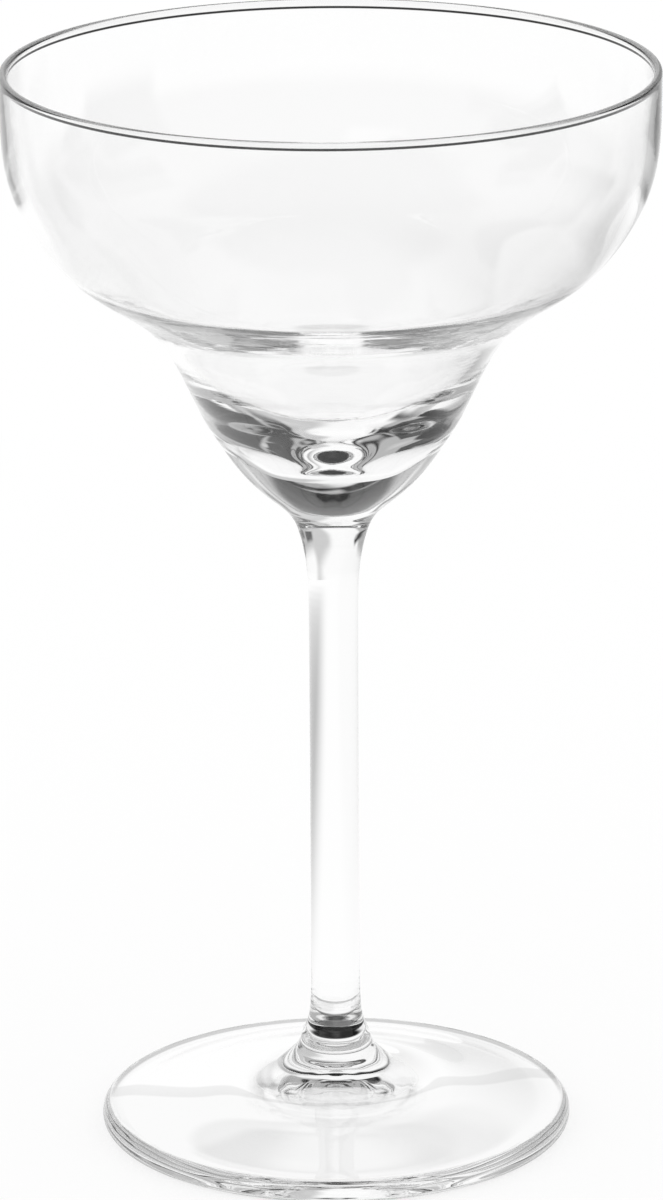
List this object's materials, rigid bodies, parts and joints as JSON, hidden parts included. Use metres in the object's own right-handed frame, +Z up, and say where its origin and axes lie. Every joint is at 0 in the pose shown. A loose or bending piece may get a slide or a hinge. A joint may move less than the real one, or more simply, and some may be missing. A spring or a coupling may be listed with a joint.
{
  "type": "margarita glass",
  "caption": "Clear stemmed glass with a wide saucer bowl over a small rounded well, a solid stem and a low domed round foot.",
  "frame": {"origin": "centre of the plane that the foot stands on", "axes": "+Z up along the axis of the stem; +X to the right and +Y away from the viewer in the picture"},
  "size_m": [0.104, 0.104, 0.176],
  "materials": {
    "bowl_glass": "clear soda-lime glass, fire-polished",
    "stem_glass": "clear soda-lime glass, drawn and fire-polished",
    "foot_glass": "clear soda-lime glass, pressed and fire-polished"
  },
  "bodies": {
    "root": {"bowl": "bowl_glass", "stem": "stem_glass", "foot": "foot_glass"}
  },
  "joints": []
}
